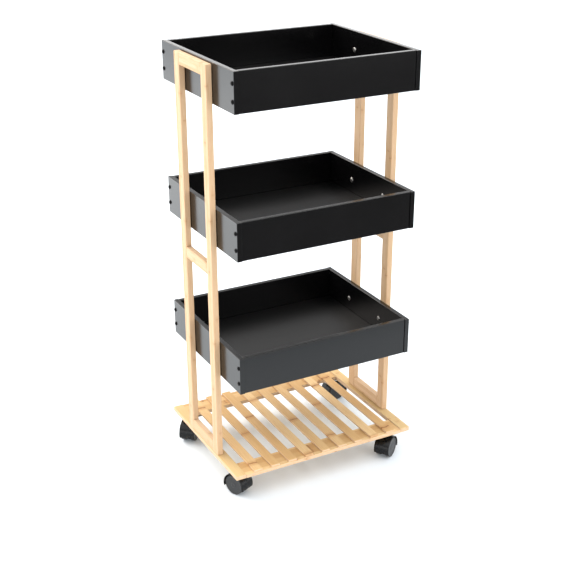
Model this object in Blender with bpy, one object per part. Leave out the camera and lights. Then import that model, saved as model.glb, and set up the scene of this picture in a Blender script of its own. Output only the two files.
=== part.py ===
"""Rolling utility cart.

Two bamboo side frames stand on a slatted bamboo deck that rolls on four
twin-wheel swivel casters. Three black trays are bolted between the frames.

Axes: X across the cart, Y from front (-Y) to back (+Y), Z up. The origin is
on the floor under the middle of the deck. Lengths are in metres.
"""

import math

import bmesh
import bpy
from mathutils import Matrix, Vector

# ---------------------------------------------------------------- overall size
WIDTH = 0.380            # over the outer faces of the two side frames
DEPTH = 0.297            # front to back, over the trays and the deck
HEIGHT = 0.806           # floor to the top tray's rim
FRAME_TOP = 0.803        # the side frames end a little below that rim
GAP = 0.0003             # clearance kept between pieces that touch

# ------------------------------------------------------------------------ deck
DECK_TOP = 0.061
DECK_THICK = 0.009
DECK_UNDERSIDE = DECK_TOP - DECK_THICK
END_BOARD_WIDTH = 0.020
BATTEN_DEPTH = 0.044
BATTEN_DROP = 0.0015     # battens sit this far below the end boards' top
SLAT_THICK = 0.0042      # slats lie on the battens, above the end boards
SLAT_COUNT = 9
SLAT_WIDTH = 0.018
SLAT_PITCH = 0.0362
SLAT_EDGE = 0.0005       # eased edges of the slats and battens

# ----------------------------------------------------------------- side frames
STOCK_THICK = 0.0115     # every frame member is planed from one section
STOCK_WIDTH = 0.021
POST_CENTRE_Y = 0.056
MID_RUNG_TOP = 0.447
STOCK_EDGE = 0.0009      # eased edges of the bamboo stock

# ----------------------------------------------------------------------- trays
TRAY_HEIGHT = 0.070
TRAY_SPACING = 0.2535
TRAY_WALL = 0.009
FRONT_RECESS = 0.0015    # front and back walls sit inside the end walls' ends
PANEL_THICK = 0.004
PANEL_REBATE = 0.0006    # the panel's edge is this much thinner, to enter the groove
PANEL_RAISE = 0.006      # underside of the floor panel above the tray's edge
GROOVE_DEPTH = 0.0043

# --------------------------------------------------------------------- casters
CASTER_X = 0.161
CASTER_Y = 0.122
TRAIL = 0.016            # wheel centres behind the swivel axis
WHEEL_RADIUS = 0.020
WHEEL_THICK = 0.009
WHEEL_SEGMENTS = 32
WEB_HALF = 0.0052        # hood's middle web, between the wheels
WHEEL_INNER = 0.0057     # inner face of a wheel, from the middle
AXLE_RADIUS = 0.0025
AXLE_HALF_LENGTH = 0.012
BORE_RADIUS = 0.0028
BORE_DEPTH = 0.0068
FENDER_INNER = 0.0212
FENDER_OUTER = 0.0232
FENDER_HALF = 0.0152
FENDER_START = -18.0     # degrees from the trail direction, turning upwards
FENDER_END = 197.0
COLLAR_RADIUS = 0.009
COLLAR_BOTTOM = 0.0402
COLLAR_TOP = 0.0452
BOSS_RADIUS = 0.0050
KINGPIN_RADIUS = 0.0030
KINGPIN_BORE = 0.0033
KINGPIN_BOTTOM = 0.022
CUP_RADIUS = 0.0095
PLATE_SIDE = 0.038
PLATE_THICK = 0.0022
PLATE_CORNER = 0.005
SCREW_HOLE_OFFSET = 0.0135
SCREW_HOLE_RADIUS = 0.0021

# Name, side in X, side in Y, and the way each caster happens to point.
CASTERS = (
    ("front_left", -1, -1, 115.0),
    ("front_right", 1, -1, 213.0),
    ("back_left", -1, 1, 228.0),
    ("back_right", 1, 1, 2.0),
)

TRAYS = ("bottom", "middle", "top")

# ------------------------------------------------------------- worked-out sizes
FRAME_INNER_X = WIDTH / 2 - STOCK_THICK
FRAME_CENTRE_X = WIDTH / 2 - STOCK_THICK / 2
TRAY_HALF_X = FRAME_INNER_X - GAP
TRAY_INNER_X = TRAY_HALF_X - TRAY_WALL
WALL_OUTER_Y = DEPTH / 2 - FRONT_RECESS
WALL_INNER_Y = WALL_OUTER_Y - TRAY_WALL
POST_BOTTOM = DECK_TOP + GAP
RAIL_LENGTH = 2 * POST_CENTRE_Y - STOCK_WIDTH - 2 * GAP
AXLE_HEIGHT = WHEEL_RADIUS
PLATE_TOP = DECK_UNDERSIDE - GAP
PLATE_BOTTOM = PLATE_TOP - PLATE_THICK


# -------------------------------------------------------------------- materials
def make_material(name, colour, roughness, metallic=0.0):
    material = bpy.data.materials.new(name)
    material.use_nodes = True
    shader = material.node_tree.nodes["Principled BSDF"]
    shader.inputs["Base Color"].default_value = (*colour, 1.0)
    shader.inputs["Roughness"].default_value = roughness
    shader.inputs["Metallic"].default_value = metallic
    material.diffuse_color = (*colour, 1.0)
    return material


# ------------------------------------------------------------------ mesh helpers
def finish_mesh(name, bm):
    """Turn a bmesh into a mesh whose faces all point outwards."""
    bmesh.ops.recalc_face_normals(bm, faces=bm.faces)
    mesh = bpy.data.meshes.new(name)
    bm.to_mesh(mesh)
    bm.free()
    return mesh


def box_mesh(name, size):
    bm = bmesh.new()
    bmesh.ops.create_cube(bm, size=1.0, matrix=Matrix.Diagonal((*size, 1.0)))
    return finish_mesh(name, bm)


def prism_mesh(name, outline, half_length, to_world):
    """Extrude a closed outline both ways; to_world turns (u, v, w) into x, y, z."""
    bm = bmesh.new()
    near = [bm.verts.new(to_world(u, v, -half_length)) for u, v in outline]
    bottom = bm.faces.new(near)
    grown = bmesh.ops.extrude_face_region(bm, geom=[bottom])
    moved = [item for item in grown["geom"] if isinstance(item, bmesh.types.BMVert)]
    shift = Vector(to_world(0.0, 0.0, 2 * half_length)) - Vector(to_world(0.0, 0.0, 0.0))
    bmesh.ops.translate(bm, verts=moved, vec=shift)
    return finish_mesh(name, bm)


def along_x(u, v, w):
    return (w, u, v)


def along_y(u, v, w):
    return (u, w, v)


def along_z(u, v, w):
    return (u, v, w)


def turned_mesh(name, profile, segments, phase=0.0):
    """Turn a profile of (radius, height) pairs about Z; radius 0 closes it."""
    bm = bmesh.new()
    rings = []
    for radius, height in profile:
        if radius == 0.0:
            rings.append([bm.verts.new((0.0, 0.0, height))])
            continue
        ring = []
        for step in range(segments):
            angle = 2 * math.pi * (step + phase) / segments
            ring.append(bm.verts.new((radius * math.cos(angle), radius * math.sin(angle), height)))
        rings.append(ring)
    for lower, upper in zip(rings, rings[1:]):
        for step in range(segments):
            following = (step + 1) % segments
            if len(lower) == 1:
                bm.faces.new((lower[0], upper[step], upper[following]))
            elif len(upper) == 1:
                bm.faces.new((lower[step], upper[0], lower[following]))
            else:
                bm.faces.new((lower[step], upper[step], upper[following], lower[following]))
    return finish_mesh(name, bm)


def rod_mesh(name, radius, bottom, top, segments=24):
    profile = [(0.0, bottom), (radius, bottom), (radius, top), (0.0, top)]
    return turned_mesh(name, profile, segments)


def moved_mesh(mesh, matrix):
    mesh.transform(matrix)
    return mesh


def combined(base, tool, operation):
    """Join or cut two meshes with an exact Boolean and return the result."""
    pair = []
    for mesh in (base, tool):
        helper = bpy.data.objects.new(mesh.name, mesh)
        bpy.context.collection.objects.link(helper)
        pair.append(helper)
    modifier = pair[0].modifiers.new("boolean", "BOOLEAN")
    modifier.object = pair[1]
    modifier.operation = operation
    modifier.solver = "EXACT"
    depsgraph = bpy.context.evaluated_depsgraph_get()
    result = bpy.data.meshes.new_from_object(pair[0].evaluated_get(depsgraph))
    result.name = base.name
    for helper in pair:
        bpy.data.objects.remove(helper)
    return result


def shade_round(mesh):
    mesh.shade_smooth()
    mesh.set_sharp_from_angle(angle=math.radians(35))


# ---------------------------------------------------------------- object helpers
def place(name, mesh, material, location=(0, 0, 0), rotation=(0, 0, 0), parent=None):
    item = bpy.data.objects.new(name, mesh)
    if not mesh.materials:
        mesh.materials.append(material)
    item.location = location
    item.rotation_euler = rotation
    item.parent = parent
    bpy.context.collection.objects.link(item)
    return item


def group_point(name, location, turn=0.0):
    """An empty that carries the pieces of one sub-assembly."""
    empty = bpy.data.objects.new(name, None)
    empty.empty_display_size = 0.02
    empty.location = location
    empty.rotation_euler = (0.0, 0.0, turn)
    bpy.context.collection.objects.link(empty)
    return empty


def board(name, size, centre, material, parent=None, edge=STOCK_EDGE):
    """A planed board with eased edges, centred on a point."""
    item = place(name, box_mesh(name, size), material, centre, parent=parent)
    ease = item.modifiers.new("eased edges", "BEVEL")
    ease.width = edge
    ease.segments = 1
    return item


# ------------------------------------------------------------------- side frames
def build_frame(side_name, side, bamboo):
    frame = group_point(side_name + "_frame", (side * FRAME_CENTRE_X, 0.0, 0.0))
    post_length = FRAME_TOP - POST_BOTTOM
    post_size = (STOCK_THICK, STOCK_WIDTH, post_length)
    for end_name, end in (("front", -1), ("back", 1)):
        centre = (0.0, end * POST_CENTRE_Y, POST_BOTTOM + post_length / 2)
        board(f"{side_name}_{end_name}_post", post_size, centre, bamboo, frame)
    rail_size = (STOCK_THICK, RAIL_LENGTH, STOCK_WIDTH)
    rail_tops = {
        "top_rail": FRAME_TOP,
        "middle_rung": MID_RUNG_TOP,
        "foot_rail": POST_BOTTOM + STOCK_WIDTH,
    }
    for rail_name, top in rail_tops.items():
        centre = (0.0, 0.0, top - STOCK_WIDTH / 2)
        board(f"{side_name}_{rail_name}", rail_size, centre, bamboo, frame)


# -------------------------------------------------------------------------- deck
def slat_centres():
    middle = (SLAT_COUNT - 1) / 2
    return [(index - middle) * SLAT_PITCH for index in range(SLAT_COUNT)]


def build_deck(bamboo):
    """Two end boards with a batten between them at each end; the slats lie on these."""
    board_size = (END_BOARD_WIDTH, DEPTH, DECK_THICK)
    board_height = DECK_UNDERSIDE + DECK_THICK / 2
    for side_name, side in (("left", -1), ("right", 1)):
        centre = (side * (WIDTH - END_BOARD_WIDTH) / 2, 0.0, board_height)
        board(f"deck_{side_name}_end_board", board_size, centre, bamboo)

    batten_thick = DECK_THICK - BATTEN_DROP
    batten_size = (WIDTH - 2 * (END_BOARD_WIDTH + GAP), BATTEN_DEPTH, batten_thick)
    batten_height = DECK_UNDERSIDE + batten_thick / 2
    for end_name, end in (("front", -1), ("back", 1)):
        centre = (0.0, end * (DEPTH - BATTEN_DEPTH) / 2, batten_height)
        board(f"deck_{end_name}_batten", batten_size, centre, bamboo, edge=SLAT_EDGE)

    slat_size = (SLAT_WIDTH, DEPTH, SLAT_THICK)
    slat_height = DECK_TOP - BATTEN_DROP + GAP + SLAT_THICK / 2
    for number, place_x in enumerate(slat_centres(), start=1):
        centre = (place_x, 0.0, slat_height)
        board(f"deck_slat_{number}", slat_size, centre, bamboo, edge=SLAT_EDGE)


# ------------------------------------------------------------------------- trays
def groove_span():
    """Bottom and top of the groove that holds a floor panel's edge."""
    return PANEL_RAISE - GAP, PANEL_RAISE + PANEL_THICK - PANEL_REBATE + GAP


def end_wall_mesh():
    """End wall with its inner face at x = 0 and its thickness towards +X."""
    wall = box_mesh("tray_end_wall", (TRAY_WALL, DEPTH, TRAY_HEIGHT))
    moved_mesh(wall, Matrix.Translation((TRAY_WALL / 2, 0.0, TRAY_HEIGHT / 2)))
    low, high = groove_span()
    overlap = 0.002
    cutter_size = (
        GROOVE_DEPTH + overlap,
        2 * (WALL_INNER_Y + GROOVE_DEPTH),
        high - low,
    )
    cutter = box_mesh("groove", cutter_size)
    cutter_centre = ((GROOVE_DEPTH - overlap) / 2, 0.0, (low + high) / 2)
    moved_mesh(cutter, Matrix.Translation(cutter_centre))
    return combined(wall, cutter, "DIFFERENCE")


def long_wall_outline():
    """Front or back wall in section: inner face at u = 0, with the groove."""
    low, high = groove_span()
    return [
        (0.0, 0.0),
        (TRAY_WALL, 0.0),
        (TRAY_WALL, TRAY_HEIGHT),
        (0.0, TRAY_HEIGHT),
        (0.0, high),
        (GROOVE_DEPTH, high),
        (GROOVE_DEPTH, low),
        (0.0, low),
    ]


def standing_box_mesh(name, half_x, half_y, bottom, top):
    """A box centred on the Z axis between two heights."""
    box = box_mesh(name, (2 * half_x, 2 * half_y, top - bottom))
    return moved_mesh(box, Matrix.Translation((0.0, 0.0, (bottom + top) / 2)))


def floor_panel_mesh():
    """Floor panel on z = 0, with a thinner edge all round for the grooves."""
    edge_thick = PANEL_THICK - PANEL_REBATE
    reach = GROOVE_DEPTH - GAP
    edge = standing_box_mesh(
        "tray_floor_panel", TRAY_INNER_X + reach, WALL_INNER_Y + reach, 0.0, edge_thick
    )
    middle = standing_box_mesh(
        "middle", TRAY_INNER_X - GAP, WALL_INNER_Y - GAP, edge_thick / 2, PANEL_THICK
    )
    return combined(edge, middle, "UNION")


def build_tray(level_name, rim, end_wall, long_wall, panel, black):
    tray = group_point(level_name + "_tray", (0.0, 0.0, rim - TRAY_HEIGHT))
    half_turn = math.pi
    walls = (
        ("left_wall", end_wall, (-TRAY_INNER_X, 0.0, 0.0), half_turn),
        ("right_wall", end_wall, (TRAY_INNER_X, 0.0, 0.0), 0.0),
        ("front_wall", long_wall, (0.0, -WALL_INNER_Y, 0.0), half_turn),
        ("back_wall", long_wall, (0.0, WALL_INNER_Y, 0.0), 0.0),
        ("floor_panel", panel, (0.0, 0.0, PANEL_RAISE), 0.0),
    )
    for wall_name, mesh, location, turn in walls:
        place(f"{level_name}_tray_{wall_name}", mesh, black, location, (0.0, 0.0, turn), tray)


def build_trays(black):
    end_wall = end_wall_mesh()
    long_wall = prism_mesh(
        "tray_long_wall", long_wall_outline(), TRAY_INNER_X - GAP, along_x
    )
    panel = floor_panel_mesh()
    for index, level_name in enumerate(TRAYS):
        rim = HEIGHT - TRAY_SPACING * (len(TRAYS) - 1 - index)
        build_tray(level_name, rim, end_wall, long_wall, panel, black)


# ----------------------------------------------------------------------- casters
def arc_points(radius, start, end, steps):
    """Points about the wheel centre, in the hood's side view."""
    points = []
    for step in range(steps + 1):
        angle = math.radians(start + (end - start) * step / steps)
        across = TRAIL + radius * math.cos(angle)
        points.append((across, AXLE_HEIGHT + radius * math.sin(angle)))
    return points


def hood_mesh():
    """Hood: a curved fender over both wheels, a middle web, and a swivel boss."""
    fender_outline = arc_points(FENDER_OUTER, FENDER_START, FENDER_END, 24)
    fender_outline += arc_points(FENDER_INNER, FENDER_END, FENDER_START, 24)
    hood = prism_mesh("caster_hood", fender_outline, FENDER_HALF, along_y)

    web_radius = (FENDER_INNER + FENDER_OUTER) / 2
    web_outline = arc_points(web_radius, FENDER_START + 2, FENDER_END - 2, 24)
    hood = combined(hood, prism_mesh("web", web_outline, WEB_HALF, along_y), "UNION")

    boss_bottom = AXLE_HEIGHT - 0.003
    boss = rod_mesh("boss", BOSS_RADIUS, boss_bottom, COLLAR_BOTTOM + 0.001, 20)
    hood = combined(hood, boss, "UNION")
    collar = rod_mesh("collar", COLLAR_RADIUS, COLLAR_BOTTOM, COLLAR_TOP, 28)
    hood = combined(hood, collar, "UNION")

    pin_hole = rod_mesh("pin_hole", KINGPIN_BORE, KINGPIN_BOTTOM - GAP, HEIGHT / 2, 20)
    hood = combined(hood, pin_hole, "DIFFERENCE")
    axle_hole = rod_mesh("axle_hole", BORE_RADIUS, -2 * WEB_HALF, 2 * WEB_HALF, 20)
    moved_mesh(axle_hole, axle_frame())
    hood = combined(hood, axle_hole, "DIFFERENCE")
    shade_round(hood)
    return hood


def axle_frame():
    """Turns a piece made about Z onto the axle, in the caster's own frame."""
    centre = Matrix.Translation((TRAIL, 0.0, AXLE_HEIGHT))
    return centre @ Matrix.Rotation(math.radians(-90), 4, "X")


def wheel_mesh():
    """One wheel about Z, inner face at z = 0, with a blind bore for the axle."""
    rim = WHEEL_RADIUS / math.cos(math.pi / WHEEL_SEGMENTS)
    dish = WHEEL_THICK - 0.0006
    profile = [
        (0.0, BORE_DEPTH),
        (BORE_RADIUS, BORE_DEPTH),
        (BORE_RADIUS, 0.0),
        (rim - 0.0020, 0.0),
        (rim, 0.0010),
        (rim, WHEEL_THICK - 0.0014),
        (rim - 0.0014, WHEEL_THICK),
        (rim - 0.0030, WHEEL_THICK),
        (rim - 0.0036, dish),
        (0.0, dish),
    ]
    # Half a segment of phase puts a flat at the foot of the wheel.
    mesh = turned_mesh("caster_wheel", profile, WHEEL_SEGMENTS, phase=0.5)
    shade_round(mesh)
    return mesh


def plate_mesh():
    """Mounting plate with the swivel cup and the kingpin riveted to it."""
    inset = PLATE_SIDE / 2 - PLATE_CORNER
    outline = []
    for corner, (side_x, side_y) in enumerate(((1, 1), (-1, 1), (-1, -1), (1, -1))):
        for step in range(5):
            angle = math.radians(90 * corner + 90 * step / 4)
            outline.append((
                side_x * inset + PLATE_CORNER * math.cos(angle),
                side_y * inset + PLATE_CORNER * math.sin(angle),
            ))
    plate = prism_mesh("caster_plate", outline, PLATE_THICK / 2, along_z)
    moved_mesh(plate, Matrix.Translation((0.0, 0.0, PLATE_TOP - PLATE_THICK / 2)))

    cup_bottom = COLLAR_TOP + GAP
    spindle_profile = [
        (0.0, KINGPIN_BOTTOM),
        (KINGPIN_RADIUS, KINGPIN_BOTTOM),
        (KINGPIN_RADIUS, cup_bottom),
        (CUP_RADIUS - 0.0015, cup_bottom),
        (CUP_RADIUS, cup_bottom + 0.0015),
        (CUP_RADIUS, PLATE_BOTTOM + 0.0005),
        (0.0, PLATE_BOTTOM + 0.0005),
    ]
    plate = combined(plate, turned_mesh("spindle", spindle_profile, 24), "UNION")
    for side_x in (-1, 1):
        for side_y in (-1, 1):
            hole = rod_mesh("hole", SCREW_HOLE_RADIUS, PLATE_BOTTOM - 0.002, DECK_UNDERSIDE, 12)
            offset = (side_x * SCREW_HOLE_OFFSET, side_y * SCREW_HOLE_OFFSET, 0.0)
            moved_mesh(hole, Matrix.Translation(offset))
            plate = combined(plate, hole, "DIFFERENCE")
    shade_round(plate)
    return plate


def build_casters(steel, black_plastic):
    plate = plate_mesh()
    hood = hood_mesh()
    wheel = wheel_mesh()
    axle = rod_mesh("caster_axle", AXLE_RADIUS, -AXLE_HALF_LENGTH, AXLE_HALF_LENGTH, 24)
    shade_round(axle)
    on_axle = math.radians(90)
    for corner_name, side_x, side_y, heading in CASTERS:
        foot = (side_x * CASTER_X, side_y * CASTER_Y, 0.0)
        name = "caster_" + corner_name
        place(name + "_plate", plate, steel, foot)
        swivel = group_point(name + "_swivel", foot, math.radians(heading))
        place(name + "_hood", hood, black_plastic, parent=swivel)
        centre = (TRAIL, 0.0, AXLE_HEIGHT)
        place(name + "_axle", axle, steel, centre, (on_axle, 0.0, 0.0), swivel)
        for wheel_name, side in (("left", 1), ("right", -1)):
            hub = (TRAIL, side * WHEEL_INNER, AXLE_HEIGHT)
            turn = (-side * on_axle, 0.0, 0.0)
            place(f"{name}_{wheel_name}_wheel", wheel, black_plastic, hub, turn, swivel)


# -------------------------------------------------------------------------- cart
def clear_scene():
    for item in list(bpy.data.objects):
        bpy.data.objects.remove(item)


def main():
    clear_scene()
    bamboo = make_material("bamboo", (0.80, 0.55, 0.28), 0.45)
    black = make_material("black_lacquer", (0.012, 0.012, 0.013), 0.35)
    black_plastic = make_material("black_plastic", (0.020, 0.020, 0.021), 0.5)
    steel = make_material("steel", (0.60, 0.60, 0.61), 0.35, 1.0)
    build_deck(bamboo)
    build_frame("left", -1, bamboo)
    build_frame("right", 1, bamboo)
    build_trays(black)
    build_casters(steel, black_plastic)


main()
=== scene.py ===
"""Looks of the rolling utility cart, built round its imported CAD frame.

Metres, Z up, X across the cart, Y from its front (-Y) to its back (+Y). Every
piece of the cart is placed from the boxes of the CAD nodes.
"""

import math

import bmesh
import bpy
from mathutils import Matrix, Vector


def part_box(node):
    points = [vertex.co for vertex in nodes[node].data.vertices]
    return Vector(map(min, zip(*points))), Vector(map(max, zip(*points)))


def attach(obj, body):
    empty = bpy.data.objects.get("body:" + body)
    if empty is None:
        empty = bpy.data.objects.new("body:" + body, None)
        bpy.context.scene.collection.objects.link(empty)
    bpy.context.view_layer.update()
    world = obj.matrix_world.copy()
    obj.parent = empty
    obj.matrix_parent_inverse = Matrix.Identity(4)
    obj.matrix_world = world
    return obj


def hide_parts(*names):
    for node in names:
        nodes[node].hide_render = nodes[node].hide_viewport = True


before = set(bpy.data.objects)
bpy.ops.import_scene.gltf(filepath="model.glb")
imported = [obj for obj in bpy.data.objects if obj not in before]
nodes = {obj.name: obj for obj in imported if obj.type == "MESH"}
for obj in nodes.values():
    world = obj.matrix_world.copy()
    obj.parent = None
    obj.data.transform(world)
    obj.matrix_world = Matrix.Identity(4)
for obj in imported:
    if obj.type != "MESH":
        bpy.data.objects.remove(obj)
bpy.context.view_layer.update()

MM = 0.001
CORNERS = ("front_left", "front_right", "back_left", "back_right")
LEVELS = ("bottom", "middle", "top")
ENDS = ("front", "back")
SIDES = {"left": -1, "right": 1}
SLATS = sorted(name for name in nodes if name.startswith("deck_slat_"))


# ------------------------------------------------------------------ node graphs
class Graph:
    """The nodes of a material or of the world, linked from coordinates to shader."""

    def __init__(self, owner, shader, coordinates):
        owner.use_nodes = True
        self.owner = owner
        self.tree = owner.node_tree
        self.shader = self.tree.nodes[shader]
        self.coordinates = self.add("ShaderNodeTexCoord").outputs
        self.place = self.coordinates[coordinates]

    def add(self, kind, **settings):
        node = self.tree.nodes.new(kind)
        for key, value in settings.items():
            setattr(node, key, value)
        return node

    def feed(self, socket, value):
        """Link a socket to another one, or set its own number or colour."""
        if isinstance(value, bpy.types.NodeSocket):
            self.tree.links.new(value, socket)
        else:
            socket.default_value = value

    def math(self, operation, first, second=0.0, third=0.0, clamp=False):
        node = self.add("ShaderNodeMath", operation=operation, use_clamp=clamp)
        for socket, value in zip(node.inputs, (first, second, third)):
            self.feed(socket, value)
        return node.outputs[0]

    def vector(self, x, y, z):
        node = self.add("ShaderNodeCombineXYZ")
        for socket, value in zip(node.inputs, (x, y, z)):
            self.feed(socket, value)
        return node.outputs[0]

    def split(self, vector):
        node = self.add("ShaderNodeSeparateXYZ")
        self.feed(node.inputs[0], vector)
        return node.outputs

    def stretched(self, axes, scales):
        """A vector of the given coordinates, each times its own scale."""
        scaled = [self.math("MULTIPLY", axis, scale) for axis, scale in zip(axes, scales)]
        return self.vector(*scaled)

    def noise(self, vector, scale=1.0, detail=2.0, roughness=0.5):
        node = self.add("ShaderNodeTexNoise")
        self.feed(node.inputs["Vector"], vector)
        node.inputs["Scale"].default_value = scale
        node.inputs["Detail"].default_value = detail
        node.inputs["Roughness"].default_value = roughness
        return node.outputs["Fac"]

    def random(self, vector):
        """Three numbers from 0 to 1 that are the same all over one cell."""
        node = self.add("ShaderNodeTexWhiteNoise", noise_dimensions="3D")
        self.feed(node.inputs["Vector"], vector)
        return self.split(node.outputs["Color"])

    def span(self, value, low, high, to_low=0.0, to_high=1.0):
        """A smooth step from one number to another, between two values."""
        node = self.add("ShaderNodeMapRange", interpolation_type="SMOOTHSTEP")
        for socket, number in zip(node.inputs, (value, low, high, to_low, to_high)):
            self.feed(socket, number)
        return node.outputs[0]

    def mix(self, factor, first, second):
        """Blend two colours, each a socket or three numbers."""
        node = self.add("ShaderNodeMix", data_type="RGBA")
        self.feed(node.inputs[0], factor)
        for socket, colour in zip(node.inputs[6:8], (first, second)):
            linked = isinstance(colour, bpy.types.NodeSocket)
            self.feed(socket, colour if linked else (*colour, 1))
        return node.outputs[2]

    def bump(self, height, distance, strength):
        node = self.add("ShaderNodeBump")
        node.inputs["Strength"].default_value = strength
        node.inputs["Distance"].default_value = distance
        self.feed(node.inputs["Height"], height)
        self.feed(self.shader.inputs["Normal"], node.outputs[0])

    def finish(self, colour, roughness, **fixed):
        """Link colour and roughness; the fixed numbers go on the shader's own sockets."""
        self.feed(self.shader.inputs["Base Color"], colour)
        self.feed(self.shader.inputs["Roughness"], roughness)
        for key, value in fixed.items():
            self.shader.inputs[key.replace("_", " ")].default_value = value
        return self.owner


def material_graph(name):
    return Graph(bpy.data.materials.new(name), "Principled BSDF", "Object")


# ---------------------------------------------------------------- bamboo finish
FRAME_PALE = (0.635, 0.452, 0.294)
FRAME_WARM = (0.555, 0.368, 0.214)
DECK_PALE = (0.74, 0.528, 0.280)
DECK_WARM = (0.54, 0.325, 0.136)
BOARD_PALE = (0.67, 0.500, 0.270)
BOARD_WARM = (0.57, 0.405, 0.195)

# Each board's palest strip, its warmest strip, and its edges.
FRAME_TONES = (FRAME_PALE, FRAME_WARM, FRAME_PALE)
DECK_TONES = (DECK_PALE, DECK_WARM, FRAME_PALE)
BOARD_TONES = (BOARD_PALE, BOARD_WARM, FRAME_PALE)

STREAK_BROWN = (0.52, 0.29, 0.115)
FLECK_BROWN = (0.36, 0.18, 0.07)
HALO_BROWN = (0.47, 0.23, 0.085)
KNOT_BROWN = (0.19, 0.08, 0.03)
GLUE_BROWN = (0.30, 0.16, 0.06)

# Width of a strip and height of a layer in each kind of board.
FRAME_STRIP = (7.0 * MM, 5.8 * MM)
SLAT_STRIP = (18.1 * MM, 6.0 * MM)
BATTEN_STRIP = (14.7 * MM, 4.5 * MM)
END_BOARD_STRIP = (10.0 * MM, 4.5 * MM)

# Noise scales along the grain, across the board and through it.
FIBRE_SCALES = (22, 900, 900)
FLECK_SCALES = (60, 2600, 2600)
CLOUD_SCALES = (9, 60, 60)
BEND_SCALES = (0, 90, 90)

# A knot line is full within its inner distance and gone beyond the outer one.
CANE_LENGTH = 235 * MM
KNOT_BEND = 7 * MM
KNOT_INNER = 0.4 * MM
KNOT_OUTER = 2.2 * MM
HALO_INNER = 1 * MM
HALO_OUTER = 12 * MM
GLUE_HALF_WIDTH = 0.25 * MM


def knot_lines(graph, board_axes, phase):
    """A slightly bent dark line once in every cane length, and the tint round it."""
    bend = graph.noise(graph.stretched(board_axes, BEND_SCALES), detail=1)
    shifted = graph.math("MULTIPLY_ADD", phase, CANE_LENGTH, board_axes[0])
    shifted = graph.math("MULTIPLY_ADD", bend, KNOT_BEND, shifted)
    canes = graph.math("FRACT", graph.math("DIVIDE", shifted, CANE_LENGTH))
    off_middle = graph.math("ABSOLUTE", graph.math("SUBTRACT", canes, 0.5))
    distance = graph.math("MULTIPLY", off_middle, CANE_LENGTH)
    line = graph.span(distance, KNOT_INNER, KNOT_OUTER, 1.0, 0.0)
    halo = graph.span(distance, HALO_INNER, HALO_OUTER, 1.0, 0.0)
    return line, halo


def glue_line(graph, column, strip_width):
    """A fine line where two strips meet."""
    off_middle = graph.math("ABSOLUTE", graph.math("SUBTRACT", graph.math("FRACT", column), 0.5))
    return graph.span(off_middle, 0.5 - GLUE_HALF_WIDTH / strip_width, 0.5)


def bamboo(name, grain, wide, thin, strip, tones, knot_strength):
    """Laminated bamboo: strips glued side by side, each with its own tone, fibres
    along the grain, and a brown knot line where the cane had a joint. A board's
    edges and ends have one plain tone. The letters are the board's own axes: along
    the grain, across the strips, and through its thickness."""
    graph = material_graph(name)
    axes = graph.split(graph.place)
    board_axes = [axes["XYZ".index(letter)] for letter in (grain, wide, thin)]
    strip_width, layer_height = strip
    pale, warm, edge_tone = tones

    # One cell for each strip and layer; the name's length sets kinds of board apart.
    column = graph.math("MULTIPLY_ADD", board_axes[1], 1 / strip_width, 0.5)
    layer = graph.math("DIVIDE", board_axes[2], layer_height)
    cell = graph.vector(graph.math("FLOOR", column), graph.math("FLOOR", layer), len(name))
    tone, phase, spread = graph.random(cell)

    fibre = graph.noise(graph.stretched(board_axes, FIBRE_SCALES), detail=3)
    fleck = graph.noise(graph.stretched(board_axes, FLECK_SCALES), detail=1)
    cloud = graph.noise(graph.stretched(board_axes, CLOUD_SCALES), detail=2)
    line, halo = knot_lines(graph, board_axes, phase)
    knot = graph.math("MULTIPLY", line, graph.span(spread, 0.0, 1.0, to_low=0.35))
    glue = glue_line(graph, column, strip_width)

    mottle = graph.math("MULTIPLY_ADD", cloud, 0.70, -0.30)
    shade = graph.math("MULTIPLY_ADD", tone, 0.95, mottle, clamp=True)
    face_normal = graph.split(graph.coordinates["Normal"])
    flatness = graph.math("ABSOLUTE", face_normal["XYZ".index(thin)])
    colour = graph.mix(graph.span(flatness, 0.3, 0.8), edge_tone, graph.mix(shade, pale, warm))
    stains = (
        (graph.span(fibre, 0.42, 0.72, to_high=0.42), STREAK_BROWN),
        (graph.span(fleck, 0.60, 0.74, to_high=0.30), FLECK_BROWN),
        (graph.math("MULTIPLY", halo, 0.50 * knot_strength), HALO_BROWN),
        (graph.math("MULTIPLY", knot, 0.72 * knot_strength), KNOT_BROWN),
        (graph.math("MULTIPLY", glue, 0.25), GLUE_BROWN),
    )
    for amount, brown in stains:
        colour = graph.mix(amount, colour, brown)

    roughness = graph.math("MULTIPLY_ADD", fibre, 0.16, 0.42)
    height = graph.math("MULTIPLY_ADD", fibre, 0.35, graph.math("MULTIPLY", knot, 0.55))
    height = graph.math("SUBTRACT", height, graph.math("MULTIPLY", glue, 0.6))
    graph.bump(height, 0.08 * MM, strength=0.55)
    return graph.finish(colour, roughness, Specular_IOR_Level=0.12)


# --------------------------------------------------------------- other finishes
LACQUER_BLACKS = ((0.0010, 0.0010, 0.0012), (0.0022, 0.0021, 0.0024))
DUST_GREY = (0.10, 0.10, 0.10)

# Each finish's clean tone and its worn, dusty or dull one.
HOOD_TONES = ((0.003, 0.003, 0.0035), (0.030, 0.030, 0.030))
WHEEL_TONES = ((0.011, 0.011, 0.012), (0.060, 0.060, 0.060))
ZINC_TONES = ((0.50, 0.49, 0.47), (0.32, 0.31, 0.30))
BLACKENED_TONES = ((0.014, 0.014, 0.015), (0.008, 0.008, 0.008))
DUSTY_BELOW = 30 * MM


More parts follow.
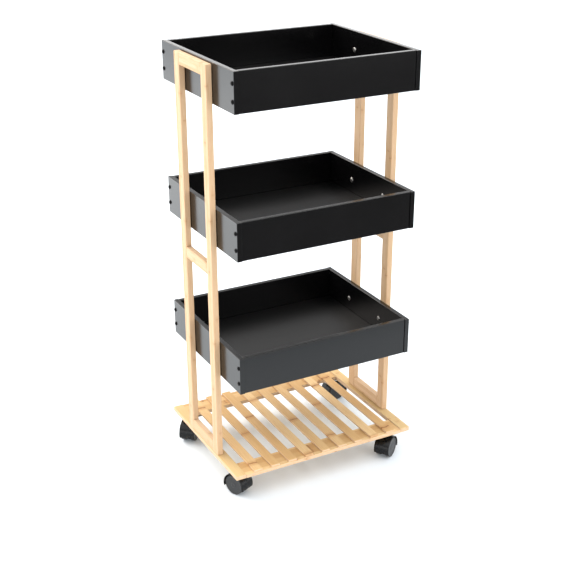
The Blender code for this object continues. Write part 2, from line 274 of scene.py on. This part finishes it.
def black_lacquer(name, rough, gloss):
    """Satin black paint on board: orange peel, faint grain and a little dust."""
    graph = material_graph(name)
    axes = graph.split(graph.place)
    peel = graph.noise(graph.place, scale=420, detail=2, roughness=0.55)
    grain = graph.noise(graph.stretched(axes, (35, 35, 700)), detail=3)
    cloud = graph.noise(graph.place, scale=14, detail=3, roughness=0.6)
    specks = graph.noise(graph.place, scale=900, detail=2, roughness=0.7)
    dust = graph.span(specks, 0.66, 0.84, to_high=0.02)
    colour = graph.mix(dust, graph.mix(cloud, *LACQUER_BLACKS), DUST_GREY)
    roughness = graph.math("MULTIPLY_ADD", cloud, 0.08, rough)
    roughness = graph.math("MULTIPLY_ADD", peel, 0.05, roughness)
    height = graph.math("MULTIPLY_ADD", grain, 0.6, graph.math("MULTIPLY", peel, 0.5))
    graph.bump(height, 0.03 * MM, strength=0.5)
    return graph.finish(colour, roughness, Specular_IOR_Level=gloss)


def moulded_plastic(name, tones, rough, texture_scale, gloss):
    """Black moulded plastic: fine spark texture, dust low down, dulled patches."""
    graph = material_graph(name)
    height_axis = graph.split(graph.place)[2]
    spark = graph.noise(graph.place, scale=texture_scale, detail=2, roughness=0.6)
    patch = graph.noise(graph.place, scale=160, detail=3, roughness=0.6)
    scratches = graph.noise(graph.place, scale=620, detail=3, roughness=0.7)
    scuff = graph.span(scratches, 0.55, 0.78, to_high=0.35)
    low_down = graph.span(height_axis, 0.0, DUSTY_BELOW, to_low=0.22, to_high=0.03)
    dusty = graph.math("MULTIPLY_ADD", low_down, patch, graph.math("MULTIPLY", scuff, 0.2))
    colour = graph.mix(dusty, *tones)
    roughness = graph.math("MULTIPLY_ADD", patch, 0.18, rough)
    graph.bump(spark, 0.02 * MM, strength=0.5)
    return graph.finish(colour, roughness, Specular_IOR_Level=gloss)


def metal(name, tones, rough):
    """Plated or blackened steel with fine scratches and cloudy patches."""
    graph = material_graph(name)
    axes = graph.split(graph.place)
    cloud = graph.noise(graph.place, scale=220, detail=3, roughness=0.6)
    scratch = graph.noise(graph.stretched(axes, (400, 3200, 1600)), detail=2)
    roughness = graph.math("MULTIPLY_ADD", cloud, 0.18, rough)
    roughness = graph.math("MULTIPLY_ADD", scratch, 0.08, roughness)
    graph.bump(scratch, 0.01 * MM, strength=0.4)
    return graph.finish(graph.mix(cloud, *tones), roughness, Metallic=1.0)


MATERIALS = {
    "post": bamboo("bamboo_post", "Z", "Y", "X", FRAME_STRIP, FRAME_TONES, 0.45),
    "rail": bamboo("bamboo_rail", "Y", "Z", "X", FRAME_STRIP, FRAME_TONES, 0.45),
    "slat": bamboo("bamboo_slat", "Y", "X", "Z", SLAT_STRIP, DECK_TONES, 1.25),
    "batten": bamboo("bamboo_batten", "X", "Y", "Z", BATTEN_STRIP, DECK_TONES, 1.0),
    "end_board": bamboo("bamboo_end_board", "Y", "X", "Z", END_BOARD_STRIP, BOARD_TONES, 0.5),
    "lacquer": black_lacquer("black_lacquer_satin", rough=0.13, gloss=0.5),
    "panel": black_lacquer("black_panel_matt", rough=0.30, gloss=0.38),
    "hood": moulded_plastic("hood_plastic", HOOD_TONES, rough=0.18, texture_scale=2600, gloss=0.24),
    "wheel": moulded_plastic("wheel_plastic", WHEEL_TONES, rough=0.30, texture_scale=1800, gloss=0.5),
    "zinc": metal("zinc_plated_steel", ZINC_TONES, rough=0.26),
    "blackened": metal("blackened_steel", BLACKENED_TONES, rough=0.28),
}


# ---------------------------------------------------------------- mesh helpers
def add_object(name, bm):
    """Turn a bmesh into an object of the scene, its faces pointing out."""
    bmesh.ops.recalc_face_normals(bm, faces=bm.faces)
    mesh = bpy.data.meshes.new(name)
    bm.to_mesh(mesh)
    bm.free()
    item = bpy.data.objects.new(name, mesh)
    bpy.context.scene.collection.objects.link(item)
    return item


def make_piece(name, bm, material, body, smooth_angle=35.0):
    """Turn a bmesh into a shown piece that rides on one body."""
    piece = add_object(name, bm)
    piece.data.shade_smooth()
    piece.data.set_sharp_from_angle(angle=math.radians(smooth_angle))
    piece.data.materials.append(MATERIALS[material])
    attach(piece, body)
    return piece


def lathe(bm, profile, segments):
    """Turn (radius, height) pairs about Z and return their rings of vertices.
    Radius 0 makes a single vertex, which closes the form."""
    rings = []
    for radius, height in profile:
        count = segments if radius else 1
        turns = (2 * math.pi * step / segments for step in range(count))
        rings.append([bm.verts.new((radius * math.cos(t), radius * math.sin(t), height)) for t in turns])
    for lower, upper in zip(rings, rings[1:]):
        for step in range(segments):
            following = (step + 1) % segments
            corners = [
                lower[step % len(lower)],
                lower[following % len(lower)],
                upper[following % len(upper)],
                upper[step % len(upper)],
            ]
            bm.faces.new(list(dict.fromkeys(corners)))
    return rings


def band(bm, lower, upper):
    """Faces between two closed rings of equally many vertices."""
    for step in range(len(lower)):
        following = (step + 1) % len(lower)
        bm.faces.new((lower[step], lower[following], upper[following], upper[step]))


def arc(start, end, centre, radius, steps=4):
    """Points of an arc between two angles in degrees, its ends included."""
    points = []
    for step in range(steps + 1):
        angle = math.radians(start + (end - start) * step / steps)
        points.append((centre[0] + radius * math.cos(angle), centre[1] + radius * math.sin(angle)))
    return points


def in_mm(*pairs):
    """Points given in millimetres, as metres."""
    return [(first * MM, second * MM) for first, second in pairs]


def facing(direction, origin):
    """Matrix that stands local Z along a direction at a point."""
    turn = Vector(direction).to_track_quat("Z", "Y").to_matrix().to_4x4()
    return Matrix.Translation(origin) @ turn


def middle(node_name):
    """Middle of a CAD node's box."""
    low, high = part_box(node_name)
    return (low + high) / 2


# ------------------------------------------------------------------- fasteners
# Radius, height and recess of each kind of head.
TRAY_SCREW = (4.0 * MM, 2.5 * MM, "cross")
TRAY_BOLT = (5.0 * MM, 1.9 * MM, "hexagon")
CASTER_SCREW = (3.3 * MM, 1.9 * MM, "cross")
POST_SCREW = (3.6 * MM, 0.8 * MM, "cross")
SLAT_BRAD = (1.9 * MM, 0.5 * MM, "cross")

HEAD_SEGMENTS = 24
HEAD_SUNK = 0.2 * MM

# Degrees up the dome, at its foot and at its flat top.
DOME_FOOT = 8.0
DOME_TOP = 70.0
DOME_STEPS = 6

# Shares of the head's height: its straight edge, and the recess's depth at its
# walls and in its middle.
STRAIGHT_EDGE = 0.08
WALL_DEPTH = 0.55
MIDDLE_DEPTH = 0.62

# Shares of the flat top's radius, and how much the recess narrows downwards.
HEXAGON_REACH = 0.62
CROSS_REACH = 0.80
CROSS_HALF_ARM = 0.17
RECESS_TAPER = 0.8
SMALLEST_SINE = 1e-6

# Tray screws are this far below the rim, and plate screws this far off centre.
SCREW_DROPS = (20 * MM, 50 * MM)
PLATE_SCREW_OFFSET = 13.5 * MM
PLATE_CORNERS = ((-1, -1), (1, -1), (-1, 1), (1, 1))
PLATE_THICKNESS = 2.2 * MM


def recess_radius(angle, recess, limit):
    """Outline of a recess: a hexagon, or a cross with four narrow arms."""
    if recess == "hexagon":
        sector = math.pi / 3
        within = (angle % sector) - sector / 2
        return HEXAGON_REACH * limit * math.cos(sector / 2) / math.cos(within)
    quarter = math.pi / 2
    off_arm = abs(((angle + quarter / 2) % quarter) - quarter / 2)
    arm_side = CROSS_HALF_ARM * limit / max(math.sin(off_arm), SMALLEST_SINE)
    return min(CROSS_REACH * limit, arm_side)


def screw_head(radius, height, recess):
    """Domed head that stands on z = 0, with a recess set into its flat top."""
    bm = bmesh.new()
    profile = [(0.0, -HEAD_SUNK), (radius, -HEAD_SUNK), (radius, STRAIGHT_EDGE * height)]
    for step in range(1, DOME_STEPS + 1):
        angle = math.radians(DOME_FOOT + (DOME_TOP - DOME_FOOT) * step / DOME_STEPS)
        reach = radius * math.cos(angle) / math.cos(math.radians(DOME_FOOT))
        profile.append((reach, height * math.sin(angle)))
    top_radius, top_height = profile[-1]
    wall_foot = top_height - WALL_DEPTH * height
    top_ring = lathe(bm, profile, HEAD_SEGMENTS)[-1]
    mouth_ring = []
    floor_ring = []
    for vert in top_ring:
        angle = math.atan2(vert.co.y, vert.co.x)
        reach = recess_radius(angle, recess, top_radius)
        x, y = reach * math.cos(angle), reach * math.sin(angle)
        mouth_ring.append(bm.verts.new((x, y, top_height)))
        floor_ring.append(bm.verts.new((RECESS_TAPER * x, RECESS_TAPER * y, wall_foot)))
    band(bm, top_ring, mouth_ring)
    band(bm, mouth_ring, floor_ring)
    floor_middle = bm.verts.new((0.0, 0.0, top_height - MIDDLE_DEPTH * height))
    for step in range(HEAD_SEGMENTS):
        following = (step + 1) % HEAD_SEGMENTS
        bm.faces.new((floor_ring[step], floor_ring[following], floor_middle))
    return bm


def add_fastener(name, head, spot, direction, material="zinc"):
    """The head of a screw, bolt or brad at a spot on the cart's body."""
    bm = screw_head(*head)
    bm.transform(facing(direction, spot))
    make_piece(name, bm, material, "cart")


def add_tray_screws():
    """Two black screws through each end wall into the front and back walls."""
    for level in LEVELS:
        for side_name, side in SIDES.items():
            low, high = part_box(f"{level}_tray_{side_name}_wall")
            face_x = high.x if side > 0 else low.x
            for end in ENDS:
                joined_y = middle(f"{level}_tray_{end}_wall").y
                for number, drop in enumerate(SCREW_DROPS, start=1):
                    name = f"{level}_tray_{end}_{side_name}_screw_{number}"
                    spot = (face_x, joined_y, high.z - drop)
                    add_fastener(name, TRAY_SCREW, spot, (side, 0, 0), "blackened")


def add_tray_bolts():
    """A button-head bolt through each end wall into each post, from inside."""
    for level in LEVELS:
        for side_name, side in SIDES.items():
            low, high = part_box(f"{level}_tray_{side_name}_wall")
            inner_x = low.x if side > 0 else high.x
            for end in ENDS:
                post_y = middle(f"{side_name}_{end}_post").y
                name = f"{level}_tray_{end}_{side_name}_bolt"
                spot = (inner_x, post_y, (low.z + high.z) / 2)
                add_fastener(name, TRAY_BOLT, spot, (-side, 0, 0))


def add_caster_screws():
    """Four zinc screws hold each caster's plate under the deck."""
    for corner in CORNERS:
        centre = middle(f"caster_{corner}_plate")
        plate_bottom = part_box(f"caster_{corner}_plate")[1].z - PLATE_THICKNESS
        for number, (side_x, side_y) in enumerate(PLATE_CORNERS, start=1):
            x = centre.x + side_x * PLATE_SCREW_OFFSET
            y = centre.y + side_y * PLATE_SCREW_OFFSET
            name = f"caster_{corner}_screw_{number}"
            add_fastener(name, CASTER_SCREW, (x, y, plate_bottom), (0, 0, -1))


def add_deck_screws():
    """Screws up through the deck into each post, and brads into each slat end."""
    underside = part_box("deck_left_end_board")[0].z
    for side_name in SIDES:
        for end in ENDS:
            post = middle(f"{side_name}_{end}_post")
            spot = (post.x, post.y, underside)
            add_fastener(f"{side_name}_{end}_post_screw", POST_SCREW, spot, (0, 0, -1))
    for slat in SLATS:
        for end in ENDS:
            spot = (middle(slat).x, middle(f"deck_{end}_batten").y, underside)
            add_fastener(f"{slat}_{end}_brad", SLAT_BRAD, spot, (0, 0, -1))


# --------------------------------------------------------------------- casters
# Angles are degrees round the axle, up from level on the side away from the swivel.
FENDER_HALF_WIDTH = 15.6 * MM
FENDER_INNER = 21.7 * MM
FENDER_OUTER = 23.3 * MM
FENDER_SHOULDER = 1.0 * MM
FENDER_ANGLES = (-18, 197)
FENDER_STEPS = 72
WEB_RADIUS = 22.2 * MM
WEB_HALF_WIDTH = 5.2 * MM
WEB_ANGLES = (-16, 195)
WEB_STEPS = 60
SOCKET_SEGMENTS = 48
WHEEL_SEGMENTS = 96
WHEEL_INNER_FACE = 5.7 * MM
WHEEL_RADIUS = 20.0 * MM
WHEEL_WIDTH = 8.8 * MM
INNER_ROUNDING = 1.2 * MM
OUTER_ROUNDING = 1.8 * MM
WHEEL_SMOOTH_ANGLE = 50.0


def caster_frame(corner):
    """Matrix of a caster's own frame, with the swivel axis as Z and the wheels
    towards +X, then the axle's distance from that axis and its height."""
    swivel = middle(f"caster_{corner}_plate")
    axle = middle(f"caster_{corner}_axle")
    heading = math.atan2(axle.y - swivel.y, axle.x - swivel.x)
    trail = math.hypot(axle.y - swivel.y, axle.x - swivel.x)
    matrix = Matrix.Translation((swivel.x, swivel.y, 0.0)) @ Matrix.Rotation(heading, 4, "Z")
    return matrix, trail, axle.z


def fender_section():
    """(across, radius) section of the hood's shell, with rounded shoulders."""
    shoulder_across = FENDER_HALF_WIDTH - FENDER_SHOULDER
    shoulder_radius = FENDER_OUTER - FENDER_SHOULDER
    section = [(-FENDER_HALF_WIDTH, FENDER_INNER), (FENDER_HALF_WIDTH, FENDER_INNER)]
    section += arc(0, 90, (shoulder_across, shoulder_radius), FENDER_SHOULDER)
    section += arc(90, 180, (-shoulder_across, shoulder_radius), FENDER_SHOULDER)
    return section


def fender_form(centre):
    """The hood's shell, its section carried round the wheels' axis."""
    bm = bmesh.new()
    section = fender_section()
    start, end = FENDER_ANGLES
    rings = []
    for step in range(FENDER_STEPS + 1):
        angle = math.radians(start + (end - start) * step / FENDER_STEPS)
        ring = []
        for across, radius in section:
            x = centre[0] + radius * math.cos(angle)
            z = centre[1] + radius * math.sin(angle)
            ring.append(bm.verts.new((x, across, z)))
        rings.append(ring)
    for lower, upper in zip(rings, rings[1:]):
        band(bm, lower, upper)
    bm.faces.new(rings[0])
    bm.faces.new(rings[-1])
    return bm


def web_form(centre):
    """The hood's middle web, which stands between the two wheels."""
    bm = bmesh.new()
    outline = arc(*WEB_ANGLES, centre, WEB_RADIUS, WEB_STEPS)
    near = [bm.verts.new((x, -WEB_HALF_WIDTH, z)) for x, z in outline]
    far = [bm.verts.new((x, WEB_HALF_WIDTH, z)) for x, z in outline]
    bm.faces.new(near)
    bm.faces.new(far)
    band(bm, near, far)
    return bm


def socket_form():
    """The socket for the swivel pin, with its wider cup under the plate."""
    bm = bmesh.new()
    stem = in_mm((0.0, 17.0), (4.4, 17.0), (5.0, 17.6), (5.0, 38.0))
    cup = in_mm((7.2, 40.6), (9.0, 41.2), (9.0, 44.6), (8.4, 45.2), (0.0, 45.2))
    lathe(bm, stem + cup, SOCKET_SEGMENTS)
    return bm


def union(base, tool):
    """Join two pieces' meshes with an exact Boolean, keeping the first object."""
    modifier = base.modifiers.new("join", "BOOLEAN")
    modifier.object = tool
    modifier.operation = "UNION"
    modifier.solver = "EXACT"
    bpy.context.view_layer.update()
    depsgraph = bpy.context.evaluated_depsgraph_get()
    joined = bpy.data.meshes.new_from_object(base.evaluated_get(depsgraph))
    base.modifiers.clear()
    base.data = joined
    bpy.data.objects.remove(tool)


def hood_mesh(trail, axle_height):
    """The hood in its caster's own frame: shell, web and socket in one moulding."""
    centre = (trail, axle_height)
    hood = add_object("hood", fender_form(centre))
    union(hood, add_object("web", web_form(centre)))
    union(hood, add_object("socket", socket_form()))
    mesh = hood.data
    bpy.data.objects.remove(hood)
    return mesh


def wheel_profile():
    """(radius, height) section of a wheel, from its inner face to its outer one."""
    profile = in_mm((0.0, 0.2), (6.0, 0.2), (6.4, 0.0), (18.6, 0.0))
    profile += arc(-90, 0, (WHEEL_RADIUS - INNER_ROUNDING, INNER_ROUNDING), INNER_ROUNDING)
    outer_centre = (WHEEL_RADIUS - OUTER_ROUNDING, WHEEL_WIDTH - OUTER_ROUNDING)
    profile += arc(0, 90, outer_centre, OUTER_ROUNDING)
    profile += in_mm((17.3, 8.8), (17.0, 8.6), (16.7, 8.3), (16.2, 8.2), (6.4, 8.0))
    profile += in_mm((6.0, 8.05), (5.7, 8.3), (5.2, 8.4), (1.6, 8.45), (1.2, 8.3), (0.0, 8.25))
    return profile


def add_hood(corner, hood, matrix):
    """A copy of the moulding in one caster's place."""
    bm = bmesh.new()
    bm.from_mesh(hood)
    bm.transform(matrix)
    name = f"caster_{corner}_hood"
    piece = make_piece(name + "_moulding", bm, "hood", f"{corner}_fork")
    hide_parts(name)


def add_wheel(corner, wheel_name, side, axle_matrix):
    """A wheel on the axle, to one side of the web, with its hub side outwards."""
    bm = bmesh.new()
    lathe(bm, wheel_profile(), WHEEL_SEGMENTS)
    clear_of_web = Matrix.Translation((0.0, side * WHEEL_INNER_FACE, 0.0))
    outwards = Matrix.Rotation(math.radians(-90 * side), 4, "X")
    bm.transform(axle_matrix @ clear_of_web @ outwards)
    name = f"caster_{corner}_{wheel_name}_wheel"
    body = f"{corner}_{wheel_name}_wheel"
    piece = make_piece(name + "_tyre", bm, "wheel", body, WHEEL_SMOOTH_ANGLE)
    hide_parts(name)


def add_casters():
    """A hood and two wheels at each corner; the four hoods are one moulding."""
    _, trail, axle_height = caster_frame(CORNERS[0])
    hood = hood_mesh(trail, axle_height)
    for corner in CORNERS:
        matrix, trail, axle_height = caster_frame(corner)
        add_hood(corner, hood, matrix)
        axle_matrix = matrix @ Matrix.Translation((trail, 0.0, axle_height))
        add_wheel(corner, "left", 1, axle_matrix)
        add_wheel(corner, "right", -1, axle_matrix)


# ------------------------------------------------------- finish of the CAD nodes
WELD_DISTANCE = 0.02 * MM
SOFTENING_SEGMENTS = 3

# Degrees between faces that count as one flat face, and between faces whose
# common edge is rounded.
FLAT_ANGLE = 1.0
SOFTENED_ANGLE = 30.0

# How far each kind of board's or part's edges are rounded.
THICK_EDGE = 0.35 * MM
THIN_EDGE = 0.25 * MM
LACQUERED_EDGE = 0.9 * MM
PANEL_EDGE = 0.6 * MM
PLATE_EDGE = 0.2 * MM
AXLE_EDGE = 0.3 * MM


def dress(node_name, material, edge):
    """Give a CAD node its material and softened edges."""
    node = nodes[node_name]
    for place in node.material_slots:
        place.material = MATERIALS[material]
    weld = node.modifiers.new("weld", "WELD")
    weld.merge_threshold = WELD_DISTANCE
    planar = node.modifiers.new("planar", "DECIMATE")
    planar.decimate_type = "DISSOLVE"
    planar.angle_limit = math.radians(FLAT_ANGLE)
    soften = node.modifiers.new("soften", "BEVEL")
    soften.width = edge
    soften.segments = SOFTENING_SEGMENTS
    soften.limit_method = "ANGLE"
    soften.angle_limit = math.radians(SOFTENED_ANGLE)
    normals = node.modifiers.new("normals", "WEIGHTED_NORMAL")
    normals.keep_sharp = False


def dress_frames():
    for side in SIDES:
        for end in ENDS:
            dress(f"{side}_{end}_post", "post", THICK_EDGE)
        for rail in ("top_rail", "middle_rung", "foot_rail"):
            dress(f"{side}_{rail}", "rail", THICK_EDGE)


def dress_deck():
    for side in SIDES:
        dress(f"deck_{side}_end_board", "end_board", THICK_EDGE)
    for end in ENDS:
        dress(f"deck_{end}_batten", "batten", THIN_EDGE)
    for slat in SLATS:
        dress(slat, "slat", THIN_EDGE)


def dress_trays():
    for level in LEVELS:
        for wall in (*SIDES, *ENDS):
            dress(f"{level}_tray_{wall}_wall", "lacquer", LACQUERED_EDGE)
        dress(f"{level}_tray_floor_panel", "panel", PANEL_EDGE)


def dress_caster_fittings():
    for corner in CORNERS:
        dress(f"caster_{corner}_plate", "zinc", PLATE_EDGE)
        dress(f"caster_{corner}_axle", "zinc", AXLE_EDGE)


# ----------------------------------------------------------------------- studio
# The floor, and the flag that lies on it, are a hair below the wheels.
FLOOR_RADIUS = 14.0
FLOOR_SEGMENTS = 96
FLOOR_HEIGHT = -0.4 * MM
FLOOR_TONES = ((0.735, 0.785, 0.830), (0.755, 0.805, 0.850))

# The flag is a painted dark reflection: it darkens from its near edge to its full depth over the fade.
FLAG_HEIGHT = -0.2 * MM
FLAG_EDGE_Y = -0.64
FLAG_FADE = 0.24
FLAG_REFLECTION_TONES = ((0.09, 0.09, 0.09), (0.11, 0.11, 0.11))

LAMP_PLACE = (-1.3, 2.2, 2.0)
LAMP_TARGET = (-1.2, 2.0, 0.0)
LAMP_SIDE = 2.4
LAMP_POWER = 95
LAMP_COLOUR = (1.0, 0.92, 0.84)

BRIGHT_SIDE = (-0.10, -0.78, 0.62)
BRIGHT_RADIANCE = 2.12
DIM_RADIANCE = 1.20

# Each step changes the surround between two heights (as sines of the elevation)
# from one factor to another: a bright backdrop low down, a dim band, a lit ceiling.
SURROUND_STEPS = ((0.18, 0.28, 1.75, 0.40), (0.44, 0.56, 1.0, 2.70))

# The camera looks down, and to the right of straight ahead, by these degrees.
CAMERA_PLACE = (-0.915, -1.7062, 1.1825)
CAMERA_DOWN = 23.752
CAMERA_TURN = 28.473
CAMERA_LENS = 67.474
CAMERA_SENSOR = 36.0


def floor_tone(graph):
    """The floor's pale paint with faint specks, and the noise of those specks."""
    speck = graph.noise(graph.place, scale=60, detail=3, roughness=0.6)
    return graph.mix(speck, *FLOOR_TONES), speck


def finish_dull(graph, colour, speck):
    roughness = graph.math("MULTIPLY_ADD", speck, 0.05, 0.85)
    return graph.finish(colour, roughness, Specular_IOR_Level=0.1)


def add_floor():
    bm = bmesh.new()
    lathe(bm, [(0.0, FLOOR_HEIGHT), (FLOOR_RADIUS, FLOOR_HEIGHT)], FLOOR_SEGMENTS)
    floor = add_object("studio_floor", bm)
    graph = material_graph("studio_floor_paint")
    floor.data.materials.append(finish_dull(graph, *floor_tone(graph)))
    return floor


def add_flag():
    """A dark card on the floor in front of the cart, which only shows in reflections: a painted dark
    reflection in the fronts of the trays.
    """
    bm = bmesh.new()
    near_edge = ((FLOOR_RADIUS, FLAG_EDGE_Y), (-FLOOR_RADIUS, FLAG_EDGE_Y))
    far_edge = ((-FLOOR_RADIUS, -FLOOR_RADIUS), (FLOOR_RADIUS, -FLOOR_RADIUS))
    bm.faces.new([bm.verts.new((x, y, FLAG_HEIGHT)) for x, y in near_edge + far_edge])
    flag = add_object("studio_flag", bm)
    graph = material_graph("studio_flag_cloth")
    tone, speck = floor_tone(graph)
    dark = graph.mix(speck, *FLAG_REFLECTION_TONES)
    depth = graph.split(graph.place)[1]
    in_front = graph.span(depth, FLAG_EDGE_Y - FLAG_FADE, FLAG_EDGE_Y, 1.0, 0.0)
    # Painted reflection: floor tone at the card's near edge, dark further in front.
    painted_reflection = graph.mix(in_front, tone, dark)
    flag.data.materials.append(finish_dull(graph, painted_reflection, speck))
    flag.visible_camera = False
    flag.visible_diffuse = False
    flag.visible_shadow = False
    return flag


def add_lamp():
    """A soft square lamp high behind the cart, on its left, turned down."""
    data = bpy.data.lights.new("lamp_over_back_left", "AREA")
    data.shape = "SQUARE"
    data.size = LAMP_SIDE
    data.energy = LAMP_POWER
    data.color = LAMP_COLOUR
    lamp = bpy.data.objects.new(data.name, data)
    lamp.location = LAMP_PLACE
    aim = Vector(LAMP_TARGET) - Vector(LAMP_PLACE)
    lamp.rotation_euler = aim.to_track_quat("-Z", "Y").to_euler()
    bpy.context.scene.collection.objects.link(lamp)


def add_world():
    """White surround, brightest in front and above, and stepped by height."""
    world = bpy.data.worlds.new("studio")
    graph = Graph(world, "Background", "Generated")
    towards = graph.add("ShaderNodeVectorMath", operation="DOT_PRODUCT")
    graph.feed(towards.inputs[0], graph.place)
    graph.feed(towards.inputs[1], Vector(BRIGHT_SIDE).normalized())
    half_range = (BRIGHT_RADIANCE - DIM_RADIANCE) / 2
    facing_side = towards.outputs["Value"]
    light = graph.math("MULTIPLY_ADD", facing_side, half_range, DIM_RADIANCE + half_range)
    height = graph.split(graph.place)[2]
    for low, high, below, above in SURROUND_STEPS:
        light = graph.math("MULTIPLY", light, graph.span(height, low, high, below, above))
    graph.feed(graph.shader.inputs["Strength"], light)
    graph.feed(graph.shader.inputs["Color"], (1.0, 1.0, 1.0, 1.0))
    bpy.context.scene.world = world


def add_camera():
    data = bpy.data.cameras.new("camera")
    data.sensor_width = CAMERA_SENSOR
    data.lens = CAMERA_LENS
    camera = bpy.data.objects.new("camera", data)
    camera.location = CAMERA_PLACE
    camera.rotation_euler = (math.radians(90 - CAMERA_DOWN), 0.0, math.radians(-CAMERA_TURN))
    bpy.context.scene.collection.objects.link(camera)
    bpy.context.scene.camera = camera


add_camera()
dress_frames()
dress_deck()
dress_trays()
dress_caster_fittings()
add_casters()
add_tray_screws()
add_tray_bolts()
add_caster_screws()
add_deck_screws()
add_floor()
add_flag()
add_world()
add_lamp()
bpy.context.scene.view_settings.view_transform = "Standard"
